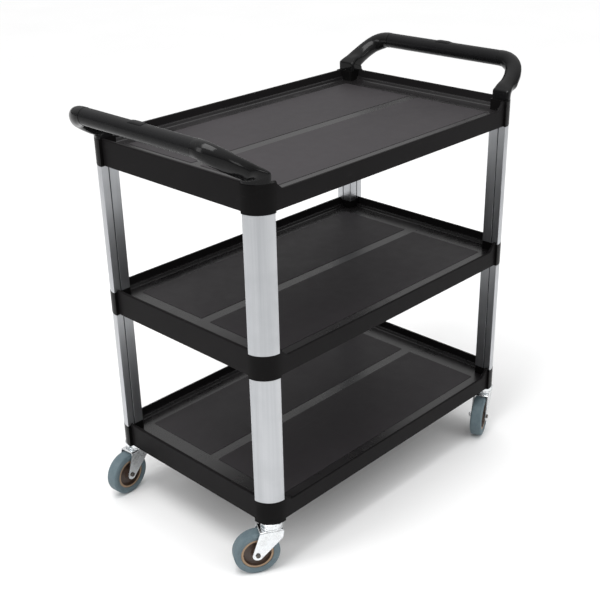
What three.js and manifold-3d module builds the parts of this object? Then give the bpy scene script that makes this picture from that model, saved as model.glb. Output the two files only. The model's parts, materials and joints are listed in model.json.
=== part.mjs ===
// Three-shelf food service trolley. Millimetres, +Z up, origin on the floor under the middle.
// X runs along the trolley between its two handles, Y runs across it; the open side faces -Y.
import * as THREE from 'three';
import { mergeVertices } from 'three/addons/utils/BufferGeometryUtils.js';
import Module from 'manifold-3d';

const wasm = await Module();
wasm.setup();

// ---- driving dimensions ----
const GAP = 0.3;                    // clearance between pieces that fit into each other
const CORNER_STEPS = 6;             // straight runs in a quarter of a rounded corner
const HOLE_FACETS = 12;
const TURNED_FACETS = 18;

const TRAY_LENGTH = 815;
const TRAY_WIDTH = 506;
const TRAY_HEIGHT = 58;             // skirt bottom to rim
const TRAY_CORNER_RADIUS = 46;
const TRAY_RIM_HEIGHTS = { top_tray: 872, middle_tray: 528, bottom_tray: 184 };
const HALF_LENGTH = TRAY_LENGTH / 2;
const HALF_WIDTH = TRAY_WIDTH / 2;

const EDGE_DROP = 18.5;             // how far the open side lies below the rim
const DECK_DROP = 23.5;             // how far the deck lies below the rim
const DECK_THICKNESS = 4.5;
const BAND_RECESS = 0.8;            // smooth bands lie this far below the textured panels
const SKIRT_THICKNESS = 4.5;
const LIP_TOP_INSET = 6.5;          // inner edge of the rim
const LIP_STEP_INSET = 13;
const LIP_STEP_RISE = 7;
const LIP_FOOT_INSET = 17;          // where the inner wall meets the deck
const EDGE_TOP_INSET = 5;           // the same three for the low lip of the open side
const EDGE_FOOT_INSET = 8;
const NOTCH_START = 62;             // open side: inset where the edge starts to climb to the corner
const NOTCH_END = 42;               // and where it reaches the rim
const NOTCH_DEPTH = 45;

const PANEL_HALF_LENGTH = 344;
const PANEL_FRONT = -222;
const PANEL_BACK = 206;
const CENTRE_BAND_WIDTH = 26;

// corner columns: quarter rounds that stand a little proud of the tray's sides
const COLUMN_X = 370;               // inner corner of the uprights' quarter-round section
const COLUMN_Y = 213;
const COLUMN_RADIUS = 45;
const COLUMN_MARGIN = 1.5;          // column faces lie this far inboard of the upright's flats
const COLUMN_DROP = 0.8;            // columns reach this far below the skirt
const SEAT_DROP = 4.5;              // uprights stand this far below the rim
const RIB_THICKNESS = 3;
const RIB_DEPTH = 19;
const CROSS_RIBS = [-270, -90, 90, 270];
const LONG_RIBS = [-125, 0, 125];

const UPRIGHT_RADIUS = 44.6;
const UPRIGHT_WALL = 2.4;
const GROOVE_POSITION = 25.5;
const GROOVE_WIDTH = 2.6;
const GROOVE_DEPTH = 1.2;
const SPIGOT_LENGTH = 24;
const SPIGOT_RADIUS = UPRIGHT_RADIUS - UPRIGHT_WALL - GAP;
const SPIGOT_INSET = UPRIGHT_WALL + GAP;

const POCKET_RADIUS = 42.5;         // caster pocket under the bottom tray
const POCKET_INSET = 3;
const POCKET_DEPTH = 26;

const GRIP_OUTBOARD = 64;           // handle bar axis, outward from the end of the trays
const GRIP_RISE = 69;               // and above the top rim
const GRIP_RADIUS = 18;
const GRIP_CORE_RADIUS = 13.5;
const LEG_END_RADIUS = 18.4;        // the legs stand just proud of the grip at its two seams
const SEAM_HALF_SPAN = 166;
const TAB_HALF_WIDTH = 20;
const TAB_HEIGHT = 2.2;
const TAB_HALF_ANGLE = 0.5;
const PEG_OFFSET = [21, 18];        // peg of a handle's foot, from the inner corner of its column
const PEG_SIZE = [18, 20];
const PEG_HEIGHT = 15;

const WHEEL_RADIUS = 50.8;          // four-inch wheel
const TYRE_WIDTH = 30;
const BOLT_HEAD_RADIUS = 5.2;
const NUT_RADIUS = 6.5;
const TYRE_BORE = 36;
const WHEEL_FACETS = 28;
const HUB_FACETS = 16;
const HUB_BORE = 4.4;
const AXLE_RADIUS = 4;
const TRAIL = 35.5;                 // swivel axis to wheel axis
const SWIVEL_INSET = 22;            // swivel axis, in from the tray's end and side
const FORK_INNER_HALF = 16.8;
const FORK_PLATE = 2.5;
const FORK_TOP = 107.2;
const FORK_LUG_RADIUS = 12;
const RACE_RADIUS = 24;
const KINGPIN_RADIUS = 5.6;

// which way each wheel trails from its swivel axis, in degrees from +X
const CORNERS = {
  front_left: { x: -1, y: -1, trailing: 149 },
  back_left: { x: -1, y: 1, trailing: 185 },
  back_right: { x: 1, y: 1, trailing: 156 },
  front_right: { x: 1, y: -1, trailing: 204 },
};

// ---- materials ----
function paint(color, roughness, metalness = 0) {
  return new THREE.MeshStandardMaterial({ color, roughness, metalness });
}
const trayPlastic = paint(0x1b1a1c, 0.5);
const handlePlastic = paint(0x111113, 0.28);
const gripPlastic = paint(0x1a1a1d, 0.45);
const satinAluminium = paint(0xb9bcc2, 0.4, 0.9);
const zincSteel = paint(0xc9ccd0, 0.25, 1);
const greyRubber = paint(0x55646d, 0.7);
const brownHub = paint(0x5a4030, 0.6);
const socketPlastic = paint(0x202022, 0.6);

// ---- solid helpers ----
function toSolid(geometry) {
  const bare = geometry.clone();
  bare.deleteAttribute('normal');
  bare.deleteAttribute('uv');
  const merged = mergeVertices(bare, 1e-4);
  const solidFrom = (triangles) => new wasm.Manifold(new wasm.Mesh({
    numProp: 3,
    vertProperties: new Float32Array(merged.attributes.position.array),
    triVerts: new Uint32Array(triangles),
  }));
  const solid = solidFrom(merged.index.array);
  return solid.volume() > 0 ? solid : solidFrom(merged.index.array.toReversed());
}

function toGeometry(solid) {
  const mesh = solid.getMesh();
  const geometry = new THREE.BufferGeometry();
  geometry.setAttribute('position', new THREE.BufferAttribute(new Float32Array(mesh.vertProperties), 3));
  geometry.setIndex(new THREE.BufferAttribute(new Uint32Array(mesh.triVerts), 1));
  geometry.computeVertexNormals();
  return geometry;
}

function prism(outline, bottom, top, hole) {
  const shape = new THREE.Shape(outline);
  if (hole) shape.holes.push(new THREE.Path(hole));
  const geometry = new THREE.ExtrudeGeometry(shape, { depth: top - bottom, bevelEnabled: false });
  return toSolid(geometry.translate(0, 0, bottom));
}

function box(x0, x1, y0, y1, z0, z1) {
  const geometry = new THREE.BoxGeometry(x1 - x0, y1 - y0, z1 - z0);
  return toSolid(geometry.translate((x0 + x1) / 2, (y0 + y1) / 2, (z0 + z1) / 2));
}

function cylinder(radius, bottom, top, facets = HOLE_FACETS) {
  const geometry = new THREE.CylinderGeometry(radius, radius, top - bottom, facets);
  return toSolid(geometry.rotateX(Math.PI / 2).translate(0, 0, (bottom + top) / 2));
}

// Turned solid about Z; the profile is a closed loop of [radius, height].
function turned(profile, facets = TURNED_FACETS) {
  const points = profile.map(([radius, height]) => new THREE.Vector2(radius, height));
  if (profile[0][0] > 0) points.push(points[0].clone());
  return toSolid(new THREE.LatheGeometry(points, facets).rotateX(Math.PI / 2));
}

// Skin through rings of equally many points, closed with a fan or an ear-cut cap at both ends.
function loft(rings) {
  const count = rings[0].length;
  const positions = rings.flat().flatMap((point) => [point.x, point.y, point.z]);
  const index = [];
  for (let ring = 0; ring < rings.length - 1; ring += 1) {
    for (let i = 0; i < count; i += 1) {
      const a = ring * count + i;
      const b = ring * count + ((i + 1) % count);
      index.push(a, b, b + count, a, b + count, a + count);
    }
  }
  const cap = (ring, reversed) => {
    const start = ring * count;
    const flat = rings[ring].map((point) => new THREE.Vector2(point.x, point.y));
    const ringTurnsLeft = THREE.ShapeUtils.area(flat) > 0;
    for (const [a, b, c] of THREE.ShapeUtils.triangulateShape(flat, [])) {
      const turnsLeft = THREE.ShapeUtils.area([flat[a], flat[b], flat[c]]) > 0;
      const swap = (turnsLeft === ringTurnsLeft) === reversed;
      index.push(start + (swap ? b : a), start + (swap ? a : b), start + c);
    }
  };
  cap(0, true);
  cap(rings.length - 1, false);
  const geometry = new THREE.BufferGeometry();
  geometry.setAttribute('position', new THREE.Float32BufferAttribute(positions, 3));
  geometry.setIndex(index);
  return toSolid(geometry);
}

function unite(...solids) {
  return solids.reduce((sum, solid) => sum.add(solid));
}

// ---- outlines ----
function arc(radius, startAngle, endAngle, steps, cx = 0, cy = 0) {
  const points = [];
  for (let i = 0; i <= steps; i += 1) {
    const angle = startAngle + ((endAngle - startAngle) * i) / steps;
    points.push(new THREE.Vector2(cx + radius * Math.cos(angle), cy + radius * Math.sin(angle)));
  }
  return points;
}

function roundedRectangle(halfX, halfY, radius) {
  const centres = [[1, 1], [-1, 1], [-1, -1], [1, -1]];
  return centres.flatMap(([sx, sy], i) => arc(
    radius, (i * Math.PI) / 2, ((i + 1) * Math.PI) / 2, CORNER_STEPS,
    sx * (halfX - radius), sy * (halfY - radius),
  ));
}

// Quarter disc seen from its inner corner, with both flats moved in by `inset`.
function quarterRound(radius, inset) {
  const reach = Math.asin(inset / radius);
  return [new THREE.Vector2(inset, inset), ...arc(radius, reach, Math.PI / 2 - reach, CORNER_STEPS)];
}

// Rectangle with its four corners notched back to `margin` from the uprights' flats.
function notchedRectangle(insetEnd, insetFront, insetBack, margin) {
  const x = HALF_LENGTH - insetEnd;
  const front = -(HALF_WIDTH - insetFront);
  const back = HALF_WIDTH - insetBack;
  const columnX = COLUMN_X - margin;
  const columnY = COLUMN_Y - margin;
  return [
    [-columnX, front], [columnX, front], [columnX, -columnY], [x, -columnY],
    [x, columnY], [columnX, columnY], [columnX, back], [-columnX, back],
    [-columnX, columnY], [-x, columnY], [-x, -columnY], [-columnX, -columnY],
  ].map(([px, py]) => new THREE.Vector2(px, py));
}

function atHeight(outline, height) {
  return outline.map((point) => new THREE.Vector3(point.x, point.y, height));
}

// Puts a solid drawn at the inner corner of a column onto one of the four corners.
function atCorner(solid, corner) {
  return solid
    .scale([corner.x, corner.y, 1])
    .translate([corner.x * COLUMN_X, corner.y * COLUMN_Y, 0]);
}

// ---- trays ----
function basin(rim) {
  const deck = rim - DECK_DROP - BAND_RECESS;
  const step = rim - DECK_DROP + LIP_STEP_RISE;
  const edge = rim - EDGE_DROP;
  const foot = notchedRectangle(LIP_FOOT_INSET, EDGE_FOOT_INSET, LIP_FOOT_INSET, COLUMN_MARGIN);
  const middle = notchedRectangle(LIP_STEP_INSET, EDGE_TOP_INSET, LIP_STEP_INSET, COLUMN_MARGIN);
  const top = notchedRectangle(LIP_TOP_INSET, EDGE_TOP_INSET, LIP_TOP_INSET, COLUMN_MARGIN);
  const above = rim + 1;
  return loft([atHeight(foot, deck), atHeight(middle, step), atHeight(top, above)])
    .add(openSideCut(edge, rim));
}

function openSideCut(edge, rim) {
  const start = HALF_LENGTH - NOTCH_START;
  const end = HALF_LENGTH - NOTCH_END;
  const outline = [
    [-start, edge], [start, edge], [end, rim], [end, rim + 1], [-end, rim + 1], [-end, rim],
  ].map(([x, z]) => new THREE.Vector2(x, z));
  const geometry = new THREE.ExtrudeGeometry(new THREE.Shape(outline), {
    depth: NOTCH_DEPTH + 1,
    bevelEnabled: false,
  });
  return toSolid(geometry.rotateX(Math.PI / 2).translate(0, -HALF_WIDTH + NOTCH_DEPTH, 0));
}

function deckPanels(rim) {
  const deck = rim - DECK_DROP;
  const middle = (PANEL_FRONT + PANEL_BACK) / 2;
  const bandHalf = CENTRE_BAND_WIDTH / 2;
  const base = deck - BAND_RECESS - 1;
  return unite(
    box(-PANEL_HALF_LENGTH, PANEL_HALF_LENGTH, PANEL_FRONT, middle - bandHalf, base, deck),
    box(-PANEL_HALF_LENGTH, PANEL_HALF_LENGTH, middle + bandHalf, PANEL_BACK, base, deck),
  );
}

function underside(rim) {
  const bottom = rim - TRAY_HEIGHT;
  const ceiling = rim - DECK_DROP - BAND_RECESS - DECK_THICKNESS;
  const outline = notchedRectangle(
    SKIRT_THICKNESS, SKIRT_THICKNESS, SKIRT_THICKNESS, COLUMN_MARGIN + SKIRT_THICKNESS / 2,
  );
  return prism(outline, bottom - 1, ceiling);
}

function ribs(rim) {
  const ceiling = rim - DECK_DROP - BAND_RECESS - DECK_THICKNESS + 1;
  const low = ceiling - RIB_DEPTH;
  const half = RIB_THICKNESS / 2;
  const reachX = HALF_LENGTH - SKIRT_THICKNESS / 2;
  const reachY = HALF_WIDTH - SKIRT_THICKNESS / 2;
  const across = CROSS_RIBS.map((x) => box(x - half, x + half, -reachY, reachY, low, ceiling));
  const along = LONG_RIBS.map((y) => box(-reachX, reachX, y - half, y + half, low, ceiling));
  return unite(...across, ...along);
}

function column(bottom, top) {
  const outline = quarterRound(COLUMN_RADIUS, 0);
  outline[0].set(-COLUMN_MARGIN, -COLUMN_MARGIN);
  outline.splice(1, 0, new THREE.Vector2(COLUMN_RADIUS, -COLUMN_MARGIN));
  outline.push(new THREE.Vector2(-COLUMN_MARGIN, COLUMN_RADIUS));
  return prism(outline, bottom, top);
}

// Room for the foot of an upright, which stands below the rim.
function seat(rim) {
  return box(-GAP, COLUMN_RADIUS + 1, -GAP, COLUMN_RADIUS + 1, rim - SEAT_DROP, rim + 1);
}

function spigot(bottom, top) {
  return prism(quarterRound(SPIGOT_RADIUS, SPIGOT_INSET), bottom, top);
}

// Peg that carries the foot of a handle, drawn in the trolley's own frame.
function handlePeg(corner, rim, clearance) {
  const [sizeX, sizeY] = PEG_SIZE;
  const x = corner.x * (COLUMN_X + PEG_OFFSET[0]);
  const y = corner.y * (COLUMN_Y + PEG_OFFSET[1]);
  const halfX = sizeX / 2 + clearance;
  const halfY = sizeY / 2 + clearance;
  return box(x - halfX, x + halfX, y - halfY, y + halfY, rim - 1, rim + PEG_HEIGHT + clearance);
}

function tray(name) {
  const rim = TRAY_RIM_HEIGHTS[name];
  const columnBottom = rim - TRAY_HEIGHT - COLUMN_DROP;
  const outer = roundedRectangle(HALF_LENGTH, HALF_WIDTH, TRAY_CORNER_RADIUS);
  let body = prism(outer, rim - TRAY_HEIGHT, rim)
    .subtract(basin(rim))
    .subtract(underside(rim))
    .add(ribs(rim))
    .add(deckPanels(rim));
  for (const corner of Object.values(CORNERS)) {
    body = body.add(atCorner(column(columnBottom, rim), corner));
    if (name === 'top_tray') {
      body = body.add(handlePeg(corner, rim, 0));
    } else {
      body = body
        .subtract(atCorner(seat(rim), corner))
        .add(atCorner(spigot(rim - SEAT_DROP - 1, rim + SPIGOT_LENGTH), corner));
    }
    if (name === 'bottom_tray') {
      const pocket = prism(
        quarterRound(POCKET_RADIUS, POCKET_INSET), columnBottom - 1, columnBottom + POCKET_DEPTH,
      );
      body = body.subtract(atCorner(pocket, corner));
    } else {
      body = body.add(atCorner(spigot(columnBottom - SPIGOT_LENGTH, columnBottom + 1), corner));
    }
  }
  return body;
}

// ---- uprights ----
function uprightOutline() {
  const radius = UPRIGHT_RADIUS;
  const from = GROOVE_POSITION - GROOVE_WIDTH / 2;
  const to = GROOVE_POSITION + GROOVE_WIDTH / 2;
  const firstFlat = [[0, 0], [from, 0], [from, GROOVE_DEPTH], [to, GROOVE_DEPTH], [to, 0]];
  const secondFlat = [[0, to], [GROOVE_DEPTH, to], [GROOVE_DEPTH, from], [0, from]];
  return [
    ...firstFlat.map(([x, y]) => new THREE.Vector2(x, y)),
    ...arc(radius, 0, Math.PI / 2, CORNER_STEPS),
    ...secondFlat.map(([x, y]) => new THREE.Vector2(x, y)),
  ];
}

function upright(lowerTray, upperTray, corner) {
  const bottom = TRAY_RIM_HEIGHTS[lowerTray] - SEAT_DROP + GAP;
  const top = TRAY_RIM_HEIGHTS[upperTray] - TRAY_HEIGHT - COLUMN_DROP - GAP;
  const hollow = quarterRound(UPRIGHT_RADIUS - UPRIGHT_WALL, UPRIGHT_WALL);
  return atCorner(prism(uprightOutline(), bottom, top, hollow), corner);
}

// ---- handles ----
// One leg of a handle, foot first: [outboard of the tray end, distance from the middle, rise above
// the rim, half size across, half size along, squareness, radius of the outer corner, tilt in degrees].
// Where no tilt is given, a ring stands square to the leg.
const LEG_STATIONS = [
  [-12.25, 234.25, GAP, 19.25, 23.25, 10, 44, 0],
  [-12.25, 234.25, 11, 20.3, 23.25, 10, 44, 18.7],
  [-11.7, 234.2, 13.3, 20.3, 22.8, 8, 42, 22.3],
  [-9.05, 233.5, 16.05, 19, 21.9, 6, 38, 29.9],
  [-3, 231, 20.8, 16.7, 20, 4, 26, 52.2],
  [12, 228, 30, 16, 19.5, 3, 8],
  [31, 222.5, 42, 16.5, 19.5, 2.6, 0],
  [47.5, 213, 53.5, 17, 20, 2.3, 0],
  [56.5, 202, 60.5, 17.5, 20.5, 2.1, 0],
  [62, 189, 65.5, 18, 20, 2, 0],
  [GRIP_OUTBOARD, 177, 68.3, LEG_END_RADIUS, 19, 2, 0],
  [GRIP_OUTBOARD, SEAM_HALF_SPAN, GRIP_RISE, LEG_END_RADIUS, LEG_END_RADIUS, 2, 0],
];
const RING_POINTS = 20;

// Distance from a ring's centre to its edge in the direction (c, s).
function ringReach(c, s, halfAcross, halfAlong, squareness, cornerRadius) {
  const across = Math.abs(c / halfAcross) ** squareness;
  const along = Math.abs(s / halfAlong) ** squareness;
  const reach = (across + along) ** (-1 / squareness);
  const centreAcross = halfAcross - cornerRadius;
  const centreAlong = halfAlong - cornerRadius;
  const forward = c * centreAcross + s * centreAlong;
  const under = forward ** 2 - centreAcross ** 2 - centreAlong ** 2 + cornerRadius ** 2;
  if (cornerRadius === 0 || under <= 0) return reach;
  const toCircle = forward + Math.sqrt(under);
  const onCorner = toCircle > 0 && toCircle * c > centreAcross && toCircle * s > centreAlong;
  return onCorner ? Math.min(reach, toCircle) : reach;
}

function legRings() {
  const rim = TRAY_RIM_HEIGHTS.top_tray;
  const centres = LEG_STATIONS.map(([out, y, rise]) => new THREE.Vector3(HALF_LENGTH + out, y, rim + rise));
  const last = LEG_STATIONS.length - 1;
  return LEG_STATIONS.map((station, i) => {
    const [sizes, tilt] = [station.slice(3, 7), station[7]];
    const tangent = i === last
      ? new THREE.Vector3(0, -1, 0)
      : centres[i + 1].clone().sub(centres[Math.max(i - 1, 0)]).normalize();
    const across = new THREE.Vector3(1, 0, 0);
    across.addScaledVector(tangent, -across.dot(tangent)).normalize();
    const along = new THREE.Vector3().crossVectors(tangent, across);
    if (tilt !== undefined) {
      const angle = (tilt * Math.PI) / 180;
      across.set(Math.cos(angle), 0, -Math.sin(angle));
      along.set(0, 1, 0);
    }
    const ring = [];
    for (let k = 0; k < RING_POINTS; k += 1) {
      const angle = ((k + 0.5) * 2 * Math.PI) / RING_POINTS;
      const c = Math.cos(angle);
      const s = Math.sin(angle);
      const reach = ringReach(c, s, ...sizes);
      ring.push(centres[i].clone().addScaledVector(across, c * reach).addScaledVector(along, s * reach));
    }
    return ring;
  });
}

function barRing(y, radius) {
  const rim = TRAY_RIM_HEIGHTS.top_tray;
  const ring = [];
  for (let k = 0; k < RING_POINTS; k += 1) {
    const angle = ((k + 0.5) * 2 * Math.PI) / RING_POINTS;
    ring.push(new THREE.Vector3(
      HALF_LENGTH + GRIP_OUTBOARD + radius * Math.cos(angle),
      y,
      rim + GRIP_RISE + radius * Math.sin(angle),
    ));
  }
  return ring;
}

function handle(side) {
  const rim = TRAY_RIM_HEIGHTS.top_tray;
  const leg = legRings();
  const mirrored = leg.map((ring) => ring.map((p) => new THREE.Vector3(p.x, -p.y, p.z))).reverse();
  const core = [barRing(SEAM_HALF_SPAN, GRIP_CORE_RADIUS), barRing(-SEAM_HALF_SPAN, GRIP_CORE_RADIUS)];
  let body = loft([...leg, ...core, ...mirrored]);
  for (const y of [-1, 1]) {
    body = body.subtract(handlePeg({ x: 1, y }, rim, GAP));
  }
  return body.scale([side, 1, 1]);
}

function gripSleeve(side) {
  const half = SEAM_HALF_SPAN - GAP;
  const bore = GRIP_CORE_RADIUS + GAP;
  const soft = 1.5;
  const profile = [
    [bore, -half], [GRIP_RADIUS - soft, -half], [GRIP_RADIUS, -half + soft],
    [GRIP_RADIUS, half - soft], [GRIP_RADIUS - soft, half], [bore, half],
  ];
  return turned(profile, RING_POINTS)
    .rotate([90, 0, 0])
    .rotate([0, 180 / RING_POINTS, 0])
    .translate([side * (HALF_LENGTH + GRIP_OUTBOARD), 0, TRAY_RIM_HEIGHTS.top_tray + GRIP_RISE]);
}

function gripTab(side) {
  const inner = GRIP_RADIUS + GAP;
  const outer = GRIP_RADIUS + TAB_HEIGHT;
  const from = Math.PI / 2 - TAB_HALF_ANGLE;
  const to = Math.PI / 2 + TAB_HALF_ANGLE;
  const outline = [...arc(inner, from, to, 6), ...arc(outer, to, from, 6)];
  return prism(outline.reverse(), -TAB_HALF_WIDTH, TAB_HALF_WIDTH)
    .rotate([90, 0, 0])
    .translate([side * (HALF_LENGTH + GRIP_OUTBOARD), 0, TRAY_RIM_HEIGHTS.top_tray + GRIP_RISE]);
}

// ---- casters, drawn with the swivel axis on Z and the wheel trailing along +X ----
const TRAY_UNDERSIDE = TRAY_RIM_HEIGHTS.bottom_tray - TRAY_HEIGHT - COLUMN_DROP;
const RACE_BOTTOM = FORK_TOP + GAP;
const RACE_TOP = RACE_BOTTOM + 5.2;

function socket(corner) {
  const bottom = TRAY_UNDERSIDE + GAP;
  const outline = quarterRound(POCKET_RADIUS - GAP, POCKET_INSET + GAP);
  const bore = cylinder(KINGPIN_RADIUS + GAP, bottom - 1, TRAY_UNDERSIDE + POCKET_DEPTH)
    .translate([HALF_LENGTH - SWIVEL_INSET - COLUMN_X, HALF_WIDTH - SWIVEL_INSET - COLUMN_Y, 0]);
  return atCorner(prism(outline, bottom, TRAY_UNDERSIDE + POCKET_DEPTH - GAP).subtract(bore), corner);
}

function stem() {
  const headBottom = FORK_TOP - FORK_PLATE - GAP - 5;
  const cupBottom = RACE_TOP + GAP;
  const cupTop = TRAY_UNDERSIDE - GAP;
  const stemTop = TRAY_UNDERSIDE + 24;
  return turned([
    [0, headBottom], [9.5, headBottom], [9.5, headBottom + 5],
    [KINGPIN_RADIUS, headBottom + 5], [KINGPIN_RADIUS, cupBottom], [RACE_RADIUS, cupBottom],
    [RACE_RADIUS, cupTop - 2.5], [RACE_RADIUS - 3, cupTop], [KINGPIN_RADIUS, cupTop],
    [KINGPIN_RADIUS, stemTop], [0, stemTop],
  ]);
}

function race() {
  const bore = KINGPIN_RADIUS + GAP;
  return turned([
    [bore, RACE_BOTTOM], [RACE_RADIUS - 2, RACE_BOTTOM], [RACE_RADIUS, RACE_BOTTOM + 2],
    [RACE_RADIUS, RACE_TOP], [bore, RACE_TOP],
  ]);
}

function fork() {
  const outerHalf = FORK_INNER_HALF + FORK_PLATE;
  const front = -23;
  const rear = 29;
  const lug = arc(FORK_LUG_RADIUS, (-140 * Math.PI) / 180, (8 * Math.PI) / 180, 8, TRAIL, WHEEL_RADIUS);
  const side = [
    new THREE.Vector2(front + 3, FORK_TOP - 20), ...lug,
    new THREE.Vector2(rear, FORK_TOP), new THREE.Vector2(front, FORK_TOP),
  ];
  const plates = prism(side, -outerHalf, outerHalf).rotate([90, 0, 0]);
  const slot = box(
    front - 1, TRAIL + FORK_LUG_RADIUS + 5, -FORK_INNER_HALF, FORK_INNER_HALF, 0, FORK_TOP - FORK_PLATE,
  );
  const axleHole = cylinder(AXLE_RADIUS + GAP, -outerHalf - 1, outerHalf + 1)
    .rotate([90, 0, 0]).translate([TRAIL, 0, WHEEL_RADIUS]);
  const pinHole = cylinder(KINGPIN_RADIUS + GAP, FORK_TOP - FORK_PLATE - 1, FORK_TOP + 1);
  return plates.subtract(slot).subtract(axleHole).subtract(pinHole);
}

function onAxle(solid) {
  return solid.rotate([90, 0, 0]).translate([TRAIL, 0, WHEEL_RADIUS]);
}

function tyre() {
  const outer = WHEEL_RADIUS / Math.cos(Math.PI / WHEEL_FACETS);
  const half = TYRE_WIDTH / 2;
  const profile = [
    [TYRE_BORE, -half + 1.5], [outer - 7, -half], [outer - 2, -half + 2], [outer, -half + 6],
    [outer, half - 6], [outer - 2, half - 2], [outer - 7, half], [TYRE_BORE, half - 1.5],
  ];
  return onAxle(turned(profile, WHEEL_FACETS).rotate([0, 0, 180 / WHEEL_FACETS]));
}

function hub() {
  const rim = TYRE_BORE - GAP;
  const bossHalf = 15.6;
  const rimHalf = 12;
  const webHalf = 5;
  const profile = [
    [HUB_BORE, -bossHalf], [11, -bossHalf], [12, -webHalf], [rim - 5, -webHalf],
    [rim - 3, -rimHalf], [rim, -rimHalf], [rim, rimHalf], [rim - 3, rimHalf],
    [rim - 5, webHalf], [12, webHalf], [11, bossHalf], [HUB_BORE, bossHalf],
  ];
  return onAxle(turned(profile, HUB_FACETS));
}

const FORK_FACE = FORK_INNER_HALF + FORK_PLATE + GAP;

function axle() {
  const headHeight = 3;
  const head = cylinder(BOLT_HEAD_RADIUS, -FORK_FACE - headHeight, -FORK_FACE);
  return onAxle(cylinder(AXLE_RADIUS, -FORK_FACE - 1, FORK_FACE + 6.5).add(head));
}

function nut() {
  const body = cylinder(NUT_RADIUS, FORK_FACE, FORK_FACE + 5, 6);
  return onAxle(body.subtract(cylinder(AXLE_RADIUS + GAP, FORK_FACE - 1, FORK_FACE + 6)));
}

function underCorner(solid, corner) {
  return solid.rotate([0, 0, corner.trailing]).translate([
    corner.x * (HALF_LENGTH - SWIVEL_INSET), corner.y * (HALF_WIDTH - SWIVEL_INSET), 0,
  ]);
}

// ---- assembly ----
const trolley = new THREE.Group();
trolley.name = 'food_service_trolley';

function place(name, solid, material) {
  const mesh = new THREE.Mesh(toGeometry(solid), material);
  mesh.name = name;
  trolley.add(mesh);
}

for (const name of Object.keys(TRAY_RIM_HEIGHTS)) {
  place(name, tray(name), trayPlastic);
}
for (const [cornerName, corner] of Object.entries(CORNERS)) {
  place(`upright_upper_${cornerName}`, upright('middle_tray', 'top_tray', corner), satinAluminium);
  place(`upright_lower_${cornerName}`, upright('bottom_tray', 'middle_tray', corner), satinAluminium);
}
for (const [sideName, side] of Object.entries({ left: -1, right: 1 })) {
  place(`handle_${sideName}`, handle(side), handlePlastic);
  place(`grip_${sideName}`, gripSleeve(side), gripPlastic);
  place(`grip_tab_${sideName}`, gripTab(side), handlePlastic);
}
for (const [cornerName, corner] of Object.entries(CORNERS)) {
  place(`caster_socket_${cornerName}`, socket(corner), socketPlastic);
  place(`caster_stem_${cornerName}`, underCorner(stem(), corner), zincSteel);
  place(`caster_race_${cornerName}`, underCorner(race(), corner), zincSteel);
  place(`caster_fork_${cornerName}`, underCorner(fork(), corner), zincSteel);
  place(`caster_hub_${cornerName}`, underCorner(hub(), corner), brownHub);
  place(`caster_tyre_${cornerName}`, underCorner(tyre(), corner), greyRubber);
  place(`caster_axle_${cornerName}`, underCorner(axle(), corner), zincSteel);
  place(`caster_nut_${cornerName}`, underCorner(nut(), corner), zincSteel);
}

export default trolley;
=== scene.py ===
"""Looks of a three-shelf food service trolley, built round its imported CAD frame."""
import json
import math

import bmesh
import bpy
from mathutils import Matrix, Vector


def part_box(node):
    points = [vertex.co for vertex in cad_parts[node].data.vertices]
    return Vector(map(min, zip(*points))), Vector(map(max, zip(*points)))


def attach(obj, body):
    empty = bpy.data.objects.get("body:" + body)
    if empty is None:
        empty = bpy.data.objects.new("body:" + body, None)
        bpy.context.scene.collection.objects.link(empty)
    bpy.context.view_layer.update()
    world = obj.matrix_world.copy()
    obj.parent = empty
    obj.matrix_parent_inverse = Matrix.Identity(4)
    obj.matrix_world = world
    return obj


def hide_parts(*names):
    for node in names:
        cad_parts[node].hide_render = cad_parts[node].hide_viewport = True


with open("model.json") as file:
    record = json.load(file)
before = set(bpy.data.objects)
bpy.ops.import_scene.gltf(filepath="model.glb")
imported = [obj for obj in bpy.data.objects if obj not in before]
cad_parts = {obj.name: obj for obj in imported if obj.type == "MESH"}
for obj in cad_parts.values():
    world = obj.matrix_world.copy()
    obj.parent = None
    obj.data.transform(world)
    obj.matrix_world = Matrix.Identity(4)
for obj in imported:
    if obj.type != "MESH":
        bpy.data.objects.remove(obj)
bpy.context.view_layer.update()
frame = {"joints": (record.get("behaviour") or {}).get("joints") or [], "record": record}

# ---- sizes in millimetres and degrees; places come from the frame ----
MM = 0.001
RIM_ABOVE_DECK = 23.5
DECK_HEIGHTS = {m["name"]: m["pos_m"][2] / MM for m in frame["record"]["mounts"]}
TRAYS = {
    "top_tray": DECK_HEIGHTS["top_deck"] + RIM_ABOVE_DECK,
    "middle_tray": DECK_HEIGHTS["middle_deck"] + RIM_ABOVE_DECK,
    "bottom_tray": DECK_HEIGHTS["bottom_deck"] + RIM_ABOVE_DECK,
}
TOP_RIM = TRAYS["top_tray"]
COLUMN_PROUD = Vector((7.5, 5))     # the corner columns stand this far out of the end and the side
HALF_LENGTH, HALF_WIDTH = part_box("middle_tray")[1].xy / MM - COLUMN_PROUD
COLUMN_X, COLUMN_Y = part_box("upright_upper_back_right")[0].xy / MM
CORNERS = {"front_left": (-1, -1), "back_left": (-1, 1), "back_right": (1, 1), "front_right": (1, -1)}

TRAY_CORNER_RADIUS = 46
SKIRT_BOTTOM = -58
BAND_LEVEL = -24.3
CEILING_LEVEL = -28.8
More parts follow.
